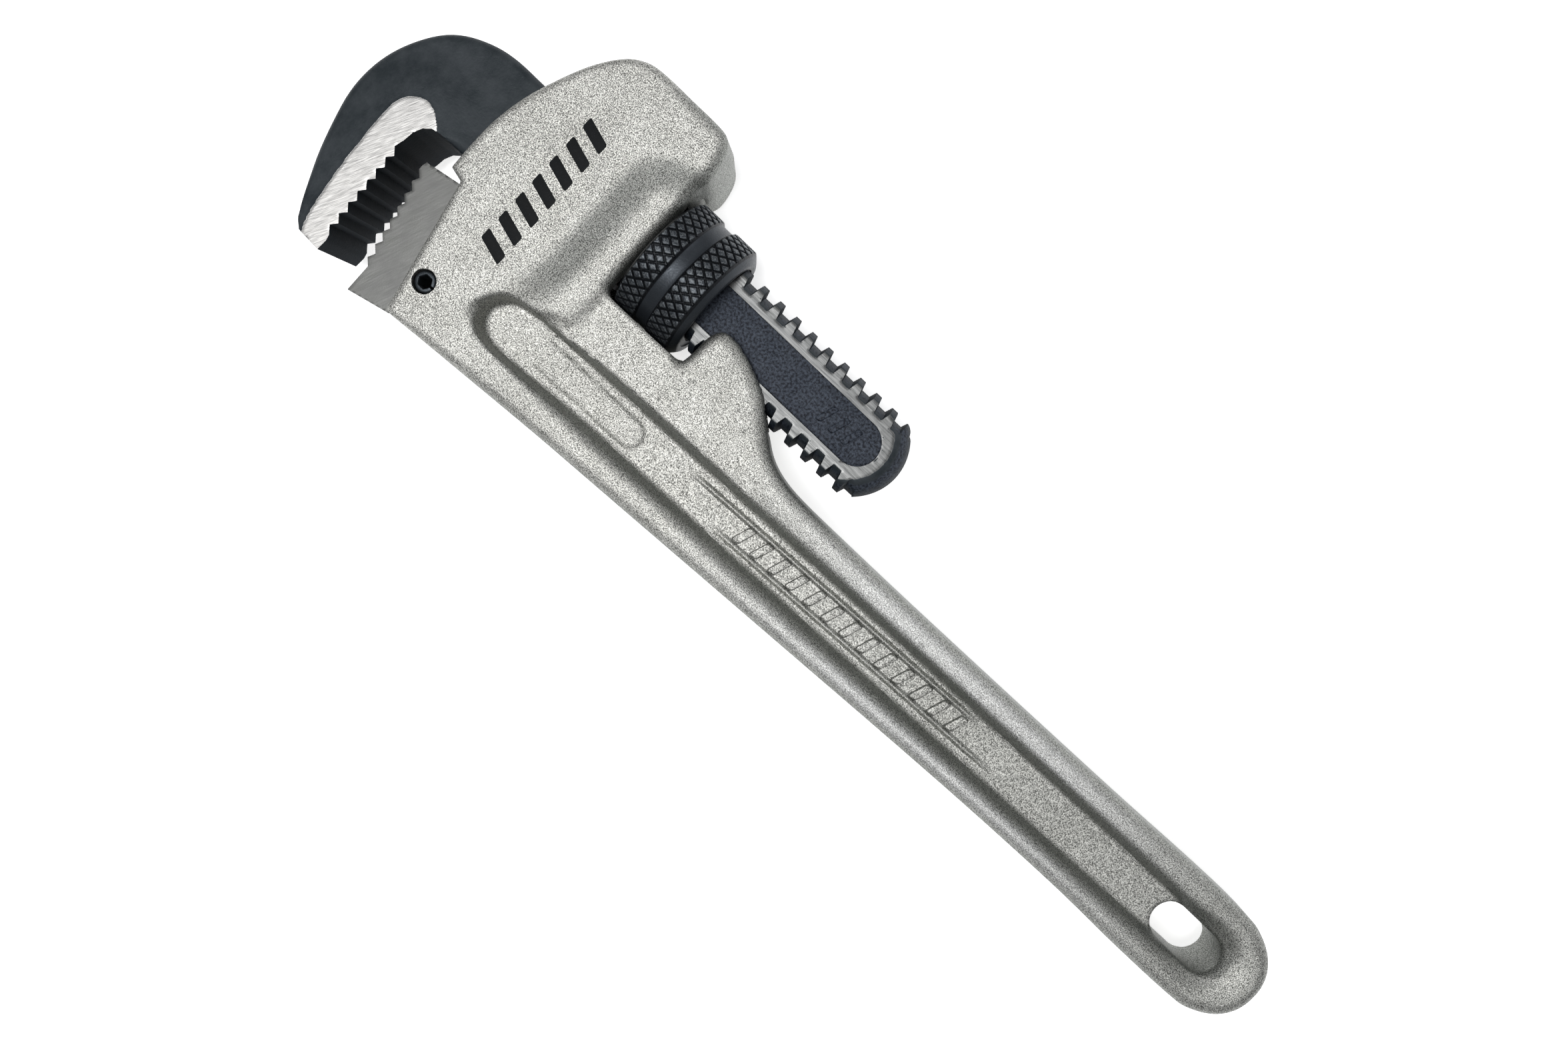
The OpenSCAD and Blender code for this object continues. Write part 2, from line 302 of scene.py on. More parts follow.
def solid(name, vertices, faces, material, body, slot, sharp=38.0):
    """Mesh object from points in mm and faces, riding on a CAD body."""
    mesh = bpy.data.meshes.new(name)
    mesh.from_pydata(placed(vertices).tolist(), [], [list(map(int, f)) for f in faces])
    mesh.polygons.foreach_set("use_smooth", [True] * len(mesh.polygons))
    mesh.set_sharp_from_angle(angle=math.radians(sharp))
    mesh.update()
    piece = bpy.data.objects.new(name, mesh)
    bpy.context.scene.collection.objects.link(piece)
    piece.data.materials.append(material)
    bpy.context.view_layer.update()
    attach(piece, body)
    return piece


def rings(loops, closed=False):
    """Quads between neighbouring loops of equal length; closed joins the last to the first."""
    loops = np.asarray(loops, float)
    count, length = loops.shape[:2]
    index = np.arange(count * length).reshape(count, length)
    if closed:
        index = np.concatenate([index, index[:1]])
    a, b = index[:-1], index[1:]
    quads = np.stack([a, b, np.roll(b, -1, 1), np.roll(a, -1, 1)], -1).reshape(-1, 4)
    return loops.reshape(-1, 3), quads.tolist()


def capped(loops):
    """Closed surface over loops that turn counter-clockwise about the way they advance."""
    vertices, faces = rings(loops)
    count = len(loops[0])
    faces = [f[::-1] for f in faces]
    faces.append(list(range(count))[::-1])
    faces.append(list(range(len(vertices) - count, len(vertices))))
    return vertices, faces


def raised_plate(outline, low, high, bevel):
    """Plate with the given counter-clockwise convex outline and a rounded upper edge."""
    outline = np.asarray(outline, float)
    middle = outline.mean(0)
    reach = np.linalg.norm(outline - middle, axis=1, keepdims=True)
    loops = [np.column_stack([outline, np.full(len(outline), low)])]
    for a in np.linspace(0, math.pi / 2, 5):
        inset = outline - (outline - middle) / reach * bevel * (1 - math.cos(a))
        height = high - bevel * (1 - math.sin(a))
        loops.append(np.column_stack([inset, np.full(len(inset), height)]))
    return capped(loops)


def slanted_bar(x, y, width, length, lean, turn):
    """Outline of a bar with cut corners, leaning along x, then turned, centred at x, y."""
    half, tall, c = width / 2, length / 2, BAR_CORNER
    raw = [(-half + c, -tall), (half - c, -tall), (half, -tall + c), (half, tall - c),
           (half - c, tall), (-half + c, tall), (-half, tall - c), (-half, -tall + c)]
    out = []
    for u, v in raw:
        u += v * lean
        out.append((x + u * math.cos(turn) - v * math.sin(turn),
                    y + u * math.sin(turn) + v * math.cos(turn)))
    return out


def merged(parts):
    """One vertex and face list from several."""
    vertices, faces, offset = [], [], 0
    for points, loops in parts:
        vertices.append(np.asarray(points, float))
        faces += [[int(i) + offset for i in f] for f in loops]
        offset += len(points)
    return np.concatenate(vertices), faces


def turned_over(part):
    """The same part on the wrench's other side."""
    vertices, faces = part
    return np.asarray(vertices) * [1, 1, -1], [list(f)[::-1] for f in faces]


def on_both_sides(parts):
    """One vertex and face list of the parts and of their copies on the other side."""
    return merged(parts + [turned_over(p) for p in parts])


def sculpted(name, shape, low, high, cells, material, body, slot, sharp=38.0):
    """Mesh object contoured from a distance function; cells are its fine and quick grid cells, but
    only the fine one is used.
    """
    fine, coarse = cells
    vertices, faces = contour(shape, low, high, fine)
    return solid(name, vertices, faces, material, body, slot, sharp)


# ---- Procedural materials -----------------------------------------------------------------


class Paint:
    """A material's node tree with short names for the nodes that the materials share."""

    def __init__(self, name, metallic, ior=1.5):
        self.material = bpy.data.materials.new(name)
        self.material.use_nodes = True
        self.tree = self.material.node_tree
        self.shader = self.tree.nodes["Principled BSDF"]
        self.shader.inputs["Metallic"].default_value = metallic
        self.shader.inputs["IOR"].default_value = ior
        self.place = self.node("ShaderNodeTexCoord").outputs["Object"]

    def node(self, kind, inputs=(), **settings):
        """New node; an input is a socket to link from or a plain value."""
        made = self.tree.nodes.new(kind)
        for key, value in settings.items():
            setattr(made, key, value)
        for key, value in dict(inputs).items():
            if isinstance(value, bpy.types.NodeSocket):
                self.tree.links.new(value, made.inputs[key])
            else:
                made.inputs[key].default_value = value
        return made

    def math(self, operation, a, b=0.0, clamp=False):
        """One step of arithmetic on sockets or plain numbers."""
        made = self.node("ShaderNodeMath", {0: a, 1: b}, operation=operation, use_clamp=clamp)
        return made.outputs[0]

    def product(self, first, *others):
        """All the values multiplied together."""
        for other in others:
            first = self.math("MULTIPLY", first, other)
        return first

    def noise(self, size, detail=3.0, rough=0.55):
        """Noise with a grain of size mm."""
        return self.node("ShaderNodeTexNoise", {
            "Vector": self.place, "Scale": 1 / (size * MM),
            "Detail": detail, "Roughness": rough}).outputs["Fac"]

    def streaks(self, fineness, detail, rough, turn=0.0):
        """Noise for brush marks: turned about Z, and this fine per metre along X, Y and Z."""
        turned = self.node("ShaderNodeVectorRotate",
                           {"Vector": self.place, "Rotation": (0, 0, turn)},
                           rotation_type="EULER_XYZ").outputs[0]
        where = self.node("ShaderNodeVectorMath", {0: turned, 1: fineness},
                          operation="MULTIPLY").outputs[0]
        return self.node("ShaderNodeTexNoise", {
            "Vector": where, "Scale": 1.0, "Detail": detail, "Roughness": rough}).outputs["Fac"]

    def range(self, value, a, b, to_a=0.0, to_b=1.0):
        """to_a where the value is a, to_b where it is b, and straight between them."""
        return self.node("ShaderNodeMapRange", {
            "Value": value, "From Min": a, "From Max": b,
            "To Min": to_a, "To Max": to_b}).outputs["Result"]

    def colours(self, factor, a, b):
        """Colour a where the factor is 0, b where it is 1; each is a socket or three numbers."""
        mix = self.node("ShaderNodeMix", data_type="RGBA")
        self.tree.links.new(factor, mix.inputs["Factor"])
        for socket, value in zip(("A", "B"), (a, b)):
            target = next(s for s in mix.inputs if s.name == socket and s.type == "RGBA")
            if isinstance(value, bpy.types.NodeSocket):
                self.tree.links.new(value, target)
            else:
                target.default_value = (*value, 1.0)
        return next(s for s in mix.outputs if s.type == "RGBA")

    def walls(self, gentle=0.7, steep=0.2):
        """1 where the surface stands upright, 0 where it faces out of the wrench's side."""
        normal = self.node("ShaderNodeTexCoord").outputs["Normal"]
        z = self.node("ShaderNodeSeparateXYZ", {"Vector": normal}).outputs["Z"]
        return self.range(self.math("ABSOLUTE", z), gentle, steep)

    def in_shank(self, axis):
        """Coordinate along X, Y or Z (0, 1, 2) in the shank's frame, in mm."""
        place = self.node("ShaderNodeSeparateXYZ", {"Vector": self.place}).outputs["XYZ"[axis]]
        return self.math("SUBTRACT", self.math("DIVIDE", place, MM), SHIFT[axis])

    def height(self):
        """Distance from the wrench's middle plane, in mm."""
        return self.math("ABSOLUTE", self.in_shank(2))

    def finish(self, colour, rough, heights):
        """Join colour, roughness and bumps; heights are pairs of a value and its depth in mm."""
        links = self.tree.links
        links.new(colour, self.shader.inputs["Base Color"])
        links.new(rough, self.shader.inputs["Roughness"])
        normal = None
        for value, depth in heights:
            inputs = {"Height": value, "Distance": depth * MM, "Strength": 1.0}
            if normal is not None:
                inputs["Normal"] = normal
            normal = self.node("ShaderNodeBump", inputs).outputs["Normal"]
        if normal is not None:
            links.new(normal, self.shader.inputs["Normal"])
        return self.material


def cast_masks(p):
    """Masks: painted highlight on rail crests; painted shade on the far grip, the dip and steep
    walls.
    """
    over, along, back = p.height(), p.in_shank(0), p.in_shank(1)
    # Painted highlight: the grip's crests between x 30 and 150 are coloured brighter, where the
    # light catches them.
    crest_highlight = p.product(p.range(along, 30, 70), p.range(along, 150, 115), p.range(over, 7.7, 8.6))
    # Painted shade: darker towards the grip's round end and along the grip past x 30, where the
    # light falls off.
    round_end = p.range(along, 148, 172, 0.0, 0.55)
    grip = p.range(along, 30, 80, 0.0, 0.30)
    # Painted shade on the slope of the dip beside the window.
    dip_shade = p.product(p.range(over, 13.0, 12.4), p.range(over, 10.15, 10.9),
                          p.range(along, -25, -21, 0.0, 0.62), p.range(back, -24, -17))
    painted_shade = p.math("MAXIMUM", p.math("MAXIMUM", round_end, grip), dip_shade)
    # Painted shade on steep walls, lighter at the housing's left end.
    upright = p.product(p.walls(0.93, 0.35), p.range(along, -24, -10, 0.62, 1.0))
    return crest_highlight, painted_shade, upright


def cast_aluminium():
    """Blasted casting: a sparkling grain over soft waves, with a slight olive tint.

    A highlight is painted along the rail crests of the grip, and shade is painted down the grip,
    at its round end, in the dip beside the window and on steep walls. The grain is 0.2085 mm and
    not
    0.2 because noise fades out on the planes of its own lattice, and those would lie on the flat
    faces 17.2, 22.0 and 26.4 mm over the floor.
    """
    p = Paint("cast_aluminium", 1.0)
    crest_highlight, painted_shade, upright = cast_masks(p)
    grain = p.noise(0.2085, 2.0, 0.7)
    waves = p.noise(7.0, 3.0, 0.5)
    speckle = p.range(grain, 0.38, 0.62)
    wave = p.range(waves, 0.35, 0.65)
    dark = p.colours(wave, (0.09, 0.09, 0.083), (0.13, 0.13, 0.12))
    light = p.colours(wave, (0.90, 0.892, 0.842), (0.98, 0.972, 0.925))
    # Painted shade colour, for steep walls, the far grip and the dip.
    shaded = p.colours(speckle, (0.09, 0.095, 0.088), (0.46, 0.47, 0.445))
    # Painted highlight colour for the rail crests.
    worn = p.colours(speckle, (0.26, 0.26, 0.25), (0.94, 0.94, 0.925))
    # Painted shade mixed in down the grip, at its end and in the dip.
    colour = p.colours(painted_shade, p.colours(speckle, dark, light), shaded)
    # Painted shade on steep walls, and the painted highlight on the rail crests.
    colour = p.colours(upright, p.colours(crest_highlight, colour, worn), shaded)
    rough = p.range(p.noise(0.8, 2.0), 0.3, 0.7, 0.50, 0.58)
    return p.finish(colour, rough, [(grain, 0.085), (waves, 0.25)])


def hardened_steel():
    """Matte grey steel with faint grinding marks and stains."""
    p = Paint("hardened_steel", 0.9)
    marks = p.streaks((2500, 180, 900), 3.0, 0.6, turn=0.35)
    stain = p.noise(3.5, 4.0, 0.6)
    base = p.colours(p.range(stain, 0.35, 0.7), (0.132, 0.134, 0.127), (0.170, 0.171, 0.166))
    colour = p.colours(p.range(marks, 0.3, 0.75, 0.0, 0.5), base, (0.24, 0.24, 0.235))
    rough = p.range(stain, 0.3, 0.7, 0.42, 0.55)
    return p.finish(colour, rough, [(marks, 0.008), (p.noise(0.3, 2.0), 0.01)])


def pin_black():
    """Blackened steel with a fine orange-peel skin and lighter worn spots."""
    p = Paint("pin_black", 0.75)
    skin = p.noise(0.45, 3.0, 0.6)
    blotch = p.noise(3.0, 4.0, 0.6)
    base = p.colours(p.range(blotch, 0.35, 0.7), (0.034, 0.040, 0.046), (0.064, 0.074, 0.084))
    colour = p.colours(p.range(skin, 0.62, 0.78), base, (0.12, 0.13, 0.15))
    rough = p.range(blotch, 0.3, 0.7, 0.38, 0.52)
    return p.finish(colour, rough, [(skin, 0.03), (blotch, 0.08)])


def nut_black():
    """Black oxide, deepest in the knurl's grooves and rubbed grey on the tips of its diamonds."""
    p = Paint("nut_black", 0.6)
    skin = p.noise(0.35, 3.0, 0.6)
    y, z = p.in_shank(1), p.in_shank(2)
    radius = p.math("SQRT", p.math("ADD", p.product(y, y), p.product(z, z)))
    tip = p.range(radius, NUT_R - 0.16, NUT_R - 0.04)
    rubbed = p.product(tip, p.range(skin, 0.42, 0.7))
    off_groove = p.math("ADD", tip, p.math("LESS_THAN", radius, NUT_R - 0.6), clamp=True)
    base = p.colours(off_groove, (0.010, 0.012, 0.015), (0.034, 0.040, 0.048))
    colour = p.colours(rubbed, base, (0.16, 0.175, 0.185))
    return p.finish(colour, p.range(skin, 0.3, 0.7, 0.34, 0.5), [(skin, 0.035)])


def forging_masks(p):
    """The ground face beside the teeth, the flats along the shank, and the shank's panels."""
    height = p.height()
    on_head = p.math("LESS_THAN", p.in_shank(0), -45.0)
    off_head = p.math("SUBTRACT", 1.0, on_head)
    ragged = p.math("ADD", height, p.range(p.noise(1.2, 2.0), 0.3, 0.7, -0.012, 0.012))
    face = p.product(p.range(ragged, JAW_Z - 0.045, JAW_Z - 0.02), on_head)
    flats = p.product(p.range(ragged, SHANK_Z - 0.06, SHANK_Z - 0.03),
                      p.math("LESS_THAN", height, SHANK_Z + 0.02), off_head)
    panels = p.product(p.range(height, SHANK_Z - 0.5, SHANK_Z - 1.0), off_head)
    return face, flats, panels


def forged_steel():
    """Black forging, ground bright beside the jaw's teeth, grey on the shank's flats; steep walls
    get painted shade.
    """
    p = Paint("forged_steel", 0.0, 1.3)
    p.shader.inputs["Specular IOR Level"].default_value = 0.3
    face, flats, panels = forging_masks(p)
    ground = p.math("ADD", face, flats, clamp=True)
    skin = p.noise(0.5, 3.0, 0.6)
    blotch = p.noise(4.0, 4.0, 0.6)
    diagonal = p.streaks((330, 5200, 1300), 4.0, 0.7, turn=-1.108)
    lengthwise = p.streaks((160, 2800, 900), 4.0, 0.7)

    black = p.colours(p.range(blotch, 0.35, 0.7), (0.028, 0.035, 0.040), (0.055, 0.063, 0.070))
    sunk = p.colours(p.range(skin, 0.38, 0.62), (0.010, 0.012, 0.018), (0.062, 0.074, 0.097))
    # Painted shade: steep walls, the teeth's flanks among them, are painted near-black.
    upright = p.colours(skin, (0.003, 0.006, 0.010), (0.008, 0.015, 0.022))
    black = p.colours(p.walls(), p.colours(panels, black, sunk), upright)
    bright = p.colours(p.range(diagonal, 0.3, 0.72), (0.28, 0.275, 0.27), (0.90, 0.885, 0.86))
    grey = p.colours(p.range(lengthwise, 0.3, 0.72), (0.06, 0.062, 0.062), (0.20, 0.202, 0.20))
    colour = p.colours(face, p.colours(flats, black, grey), bright)

    p.tree.links.new(p.range(ground, 0.0, 1.0, 0.15, 0.95), p.shader.inputs["Metallic"])
    skin_rough = p.range(blotch, 0.3, 0.7, 0.44, 0.56)
    rough = p.node("ShaderNodeMix", {0: ground, 2: skin_rough, 3: 0.38}).outputs[0]
    rough = p.math("MAXIMUM", rough, p.range(p.walls(), 0.0, 1.0, 0.0, 0.72))
    skin_height = p.product(skin, p.math("SUBTRACT", 1.0, ground))
    marks = p.math("ADD", p.product(diagonal, face), p.product(lengthwise, flats))
    return p.finish(colour, rough, [(skin_height, 0.06), (marks, 0.012)])


def black_print():
    """Flat black ink, thin over the casting's grain."""
    p = Paint("black_print", 0.0)
    grain = p.noise(0.34, 2.0, 0.65)
    colour = p.colours(p.range(grain, 0.55, 0.75), (0.003, 0.004, 0.005), (0.014, 0.016, 0.019))
    p.shader.inputs["Specular IOR Level"].default_value = 0.2
    return p.finish(colour, p.range(grain, 0.3, 0.7, 0.55, 0.7), [(grain, 0.04)])


def spring_steel():
    """Drawn and rolled spring steel with a thin film of oil."""
    p = Paint("spring_steel", 1.0)
    drawn = p.streaks((400, 2200, 2200), 3.0, 0.6)
    colour = p.colours(p.range(drawn, 0.3, 0.7), (0.14, 0.14, 0.15), (0.30, 0.30, 0.32))
    return p.finish(colour, p.range(drawn, 0.3, 0.7, 0.28, 0.42), [(drawn, 0.006)])


# ---- Handle -------------------------------------------------------------------------------

END_CENTRE = (156.5, -24.6)
END_R = (13.9, 11.0)
END_POWER = 2.2  # the grip's end is a rounded oblong: a superellipse of this power
DRAFT = 0.035  # the outer walls lean in by this much per mm of height
SHELF_DROP = 3.0  # from the housing's face down to the dip beside the window
RAIL_CROWN = 0.055  # the rails fall by this times the square of the distance from their crest
HORN_DROP = 0.6  # from the cheeks down to the horn's outline
FLOOR_RISE = 3.2  # the recess's floor climbs by this much towards its left end
PAD_RISE = 0.35  # the low pad on the recess's floor, left of the marks
TONGUE_ROOM = 0.1  # play beside the heel jaw's tongue
PIN_ROOM = 0.2  # play round the pin in the housing's bore
NUT_ROOM = 0.5  # play round the nut in its window
POCKET_R = 4.4  # of the coil spring's pocket


def grip_keys():
    """Key points of the grip and horn, from the window's floor round the end to the housing."""
    back = [(-33, WINDOW_FLOOR), (6.6, WINDOW_FLOOR), (8.5, -11.7), (9.2, -9.8), (9.5, -4.8),
            (10.6, -2.6), (12.6, -1.8), (16, -2.3), (20, -3.6), (24.5, -5.7), (28, -8.6),
            (31, -11.1), (34, -13.1), (37.5, -14.4), (42, -15.1), (50, -15.3), (75, -15.2),
            (125, -14.4), (150, -13.7)]
    end = []
    for a in np.radians(np.arange(75, -90, -15)):
        across, down = math.cos(a), math.sin(a)
        end.append((END_CENTRE[0] + END_R[0] * across ** (2 / END_POWER),
                    END_CENTRE[1] + END_R[1] * np.sign(a) * abs(down) ** (2 / END_POWER)))
    front = [(145, -35.6), (128, -35.4), (100, -36.1), (57, -38.1), (10, -40.4), (-18, -41.7),
             (-33, -42.5)]
    return back + end + front


def handle_fields():
    """The planar outlines that the handle is made from."""
    grip = smooth_outline(grip_keys(), corners=(0, len(grip_keys()) - 1))
    housing = smooth_outline([
        (WINDOW_LEFT, -19.6), (WINDOW_LEFT, 10.5), (-9.3, 13), (-8.6, 15.2), (-8.9, 18.6),
        (-9.9, 21.6), (-11.6, 23.5), (-13.8, 24.1), (-21, 24.2), (-28, 24.1), (-31.2, 23.5),
        (-34.2, 21.8), (-37, 18.6), (-39.6, 14.2), (-42, 8.4), (-43.8, 3), (-45, -3.6),
        (-45.2, -10), (-45, -15.3), HEEL_BACK_TOP, HEEL_BACK_BOTTOM, (-35, -42.7), (-29, -42.3),
        (-27.5, -36), (-24.2, -31), (-20, -27.8), (-16, -25.6), (-12.8, -23.2), (-10.6, -21.4)],
        corners=(18, 19, 20, 21, 22))
    recess = smooth_outline([
        (-22.6, -26.4), (-20, -24.7), (-15, -24), (0, -23.2), (50, -21.9), (100, -20.7),
        (156, -20), (160.6, -21.4), (162, -24.4), (160.6, -27.8), (156, -29.3), (100, -31.2),
        (50, -32.6), (0, -33.8), (-15, -34.2), (-20, -33.8), (-22.6, -32.4), (-24, -29.5)])
    tongue = np.array([(-46, -26.65), (-34, -26.65), (-30.65, -29.6), (-30.65, -37),
                       (-33.4, -39.55), (-42, -39.55)])
    return Field(grip), Field(housing), Field(recess), Field(tongue)


def edge_radius(x):
    """Radius of the casting's outer edges, smaller at the housing than along the grip."""
    return 1.3 + 1.2 * ramp(x, -36, -18)


def grip_body(x, y, side, outline):
    """Grip and horn; the front of the grip rises to the housing's face at its left end."""
    crown = RAIL_CROWN * np.clip(-outline - 2.4, 0, 4) ** 2 * ramp(x, 24, 44)
    horn = HORN_DROP * ramp(x, 8, 14) * ramp(y, -17, -11) * ramp(-outline, 8, 0)
    front = np.maximum(ramp(y, -25, -33.5), ramp(x, -20, -26))
    rise = (FACE_Z - CHEEK_Z) * ramp(x, 4, -26) * front
    window = ramp(x, 9.5, 6.5) * ramp(y, -20, -16)
    wall = outline + DRAFT * side * (1 - window)
    return both(side - CHEEK_Z + crown + horn - rise, wall, edge_radius(x) - 1.9 * window)


def housing_body(x, y, side, outline):
    """Housing, with a dip beside the window that dies out towards the back."""
    across = x - 0.07 * np.maximum(y - 7, 0) ** 2 + 0.02 * np.clip(-14 - y, 0, 8) ** 2
    dip = SHELF_DROP * ramp(across, -22.8, -13) * ramp(y, 19, 6)
    return both(side - FACE_Z + dip, outline + DRAFT * side, edge_radius(x))


def blunt_end(x):
    """1 at the recess's left end, where its walls are softer, 0 along the rest."""
    return ramp(x, -18, -30)


def grip_recess(x, y, side, outline):
    """The recess in the grip's two sides, with sloping walls and a climbing floor."""
    blunt = blunt_end(x)
    slope = 0.10 + 0.12 * blunt + 0.28 * ramp(x, -22, 8) + 0.6 * ramp(x, 147, 159)
    lift = FLOOR_RISE * ramp(x, 4, -24)
    on_pad = ramp(capsule(x, y, (-17.5, -28.9), (10.8, -28.5), 2.7), 0.4, -0.4)
    floor = FLOOR_Z + lift + PAD_RISE * on_pad * ramp(x, -17, -7)
    wall = outline - slope * (side - 6.4 - lift - 3.6 * blunt)
    return both(wall, floor - side, 0.7 + 0.9 * blunt)


def recess_lip(x, y):
    """Radius of the recess's lip."""
    return 0.7 + 0.6 * blunt_end(x) + 1.0 * ramp(x, -18, 5) * ramp(y, -26.5, -30)


def jaw_passage(x, y, z):
    """Mouth for the hook jaw's neck, passage for its shank and pocket for the coil spring."""
    mouth = block(x, y, z, (-60, -15.7, -9.4), (-33.2, 9.9, 9.4))
    passage = block(x, y, z, (-34.2, -12.4, -PASSAGE_Z), (WINDOW_LEFT + 1, 9.9, PASSAGE_Z))
    pocket = np.maximum(np.hypot(x - COIL_X, z) - POCKET_R,
                        np.maximum(y + 11.4, POCKET_FLOOR - y))
    return np.minimum(np.minimum(mouth, passage), pocket)


def nut_window(x, y, z):
    """Room for the nut, and the slot between the horn's cheeks for the shank."""
    room = np.maximum(np.hypot(y, z) - NUT_R - NUT_ROOM,
                      np.maximum(WINDOW_LEFT - x, x - WINDOW_RIGHT))
    slot = block(x, y, z, (WINDOW_RIGHT - 1, -10.4, -PASSAGE_Z), (48, 9.6, PASSAGE_Z))
    return np.minimum(room, slot)


def hanging_hole(x, y):
    """Oblong hole with round ends."""
    return capsule(x, y, (HOLE_AT[0] - HOLE_HALF, HOLE_AT[1]),
                   (HOLE_AT[0] + HOLE_HALF, HOLE_AT[1]), HOLE_R)


def handle_shape():
    """Distance function of the whole casting."""
    grip, housing, recess, tongue = handle_fields()

    def shape(x, y, z):
        side = np.abs(z)
        body = either(grip_body(x, y, side, grip(x, y)), housing_body(x, y, side, housing(x, y)),
                      0.05 + 2.0 * ramp(x, -16, -10.5))
        body = cut(body, grip_recess(x, y, side, recess(x, y)), recess_lip(x, y))
        body = cut(body, jaw_passage(x, y, z), 0.3)
        body = cut(body, nut_window(x, y, z), 0.5)
        heel = np.maximum(tongue(x, y), side - TONGUE_Z - TONGUE_ROOM)
        pin = np.hypot(x - PIN_AT[0], y - PIN_AT[1]) - PIN_R - PIN_ROOM
        body = cut(body, np.minimum(heel, pin), 0.25)
        return cut(body, hanging_hole(x, y), 0.7)

    return shape


def make_handle(material):
    """The casting: grip, horn and housing in one."""
    piece = sculpted("handle_casting", handle_shape(), (-46.3, -43.9, -13.9), (171.6, 25.3, 13.9),
                     (0.58, 1.2), material, "handle", "cast_handle")
    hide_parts("handle")
    return piece


RIDGE_HALF = 0.8
RIDGE_RISE = 0.6
MARK_FOOT = 3.6  # the marks start under the recess's floor, so that they join it
MARK_CLIMB = 0.0355  # the recess's middle line climbs by this much per mm


def long_ridge(start, end):
    """Low round ridge that fades out at both ends."""
    start, end = np.array(start), np.array(end)
    along = (end - start) / np.linalg.norm(end - start)
    half = RIDGE_HALF * np.array([-along[1], along[0]])
    loops = []
    for t in np.linspace(0, 1, 40):
        fade = min(1.0, 12 * t + 0.15, 12 * (1 - t) + 0.15)
        middle = start + (end - start) * t
        loop = []
        for u in np.linspace(1, -1, 9):
            bulge = (1 + math.cos(math.pi * u)) / 2
            loop.append((*(middle + half * u), FLOOR_Z - 0.04 + RIDGE_RISE * fade * bulge))
        loop += [(*(middle - half), MARK_FOOT), (*(middle + half), MARK_FOOT)]
        loops.append(loop)
    return capped(loops)


def make_marks(material):
    """Plain raised bars between two ridges, in place of the recess's line of text."""
    parts = [long_ridge((24, -25.8), (97, -22.9)), long_ridge((34, -30.7), (105, -28.0))]
    for i in range(13):
        x = 40 + i * 4.5
        bar = slanted_bar(x, -27.7 + (x - 40) * MARK_CLIMB, 1.8, 4.1, 0.35, 0.04)
        parts.append(raised_plate(bar, MARK_FOOT, FLOOR_Z + 0.85, 0.5))
    return solid("raised_marks", *on_both_sides(parts), material, "handle", "cast_handle", 50)


def make_printed_bars(material):
    """Row of plain slanted bars printed on the housing's two faces."""
    parts = []
    for i in range(7):
        bar = slanted_bar(-29.0, -20.2 + i * 4.5, 2.3, 5.6, 0.3, math.pi / 2)
        parts.append(raised_plate(bar, FACE_Z - 0.3, FACE_Z + 0.045, 0.02))
    return solid("printed_bars", *on_both_sides(parts), material, "handle", "cast_handle", 50)


# ---- Jaws ---------------------------------------------------------------------------------

GROUND_STEP = 0.12  # the ground face stands this much proud of the forging's skin
HEAD_FALL = 0.7  # the head's sides fall by this much away from the ground face
HEAD_CROWN = 0.25  # the back edge falls in by this much towards the sides
CREST_HALF = 0.65  # half the width of the thread's flat crest
FLANK = 0.5  # the run of its flank along the shank
FLANK_SCALE = 0.5  # the flanks are steep, so the thread's value is scaled down to a distance
SHANK_LEFT = -39.0  # the shank starts inside the neck
PANEL_END = (43.3, -0.05)
PANEL_R = 4.95
PANEL_LEFT = -30.0
DOME_X = 38.0  # centre of the ellipsoid that rounds the shank's end
DOME_HALF = (15.5, 12.8, 8.6)
HEEL_GAP = 0.1  # between the heel jaw and the housing
BORE_ROOM = 0.05  # play round the pin in the heel jaw's tongue


def teeth(first, last, depth):
    """Crest and root of each tooth in a row from first towards last."""
    first, run = np.array(first), np.array(last) - np.array(first)
    span = np.linalg.norm(run)
    along = run / span
    inward = np.array([-along[1], along[0]])
    points = []
    for i in range(int(span / TOOTH_PITCH)):
        for step in (0, 1):
            points.append(first + along * (i + 0.55 * step) * TOOTH_PITCH + inward * depth * step)
    return [tuple(p) for p in points]


def head_outline():
    """The hook jaw's head and neck from the side, with its teeth."""
    back = smooth_outline([
        (-38, -12.1), (-38, 7.9), (-45, 7.85), (-50.9, 7.8), (-55.5, 7.0), (-60, 5.0),
        (-63.8, 2.1), (-66.9, -2.3), (-69.1, -7.4), (-70.1, -12.6), (-70, -18), (-68.6, -24),
        (-66.2, -31.2), (-63.4, -37), (-60.8, -41.4), (-59, -43), (-54, -43.3)],
        corners=(0, 1, 14, 15, 16), steps=4)
    back = back[:16 * 4 + 1]  # without the stretch that would close it across the teeth
    inner = [(-53.9, -41)] + teeth((-54.2, -39.8), (-55.2, -17.8), 1.1) + [
        (-55.7, -17.6), (-55.4, -15.4), (-54.6, -13.6), (-53.3, -12.5), (-51.6, -12.1)]
    return np.concatenate([back, np.array(inner)])


def ground_outline():
    """The part of the head's side that is ground flat, along the teeth."""
    return smooth_outline([
        (-61.6, -14.6), (-60.6, -11.6), (-58.4, -9.8), (-56, -9.7), (-53.9, -10.9),
        (-52.2, -12.8), (-52.0, -16), (-52.2, -30), (-52.6, -44.5), (-57.4, -44.5),
        (-59.2, -40.6), (-60.4, -34), (-61.3, -25)], corners=(8, 9))


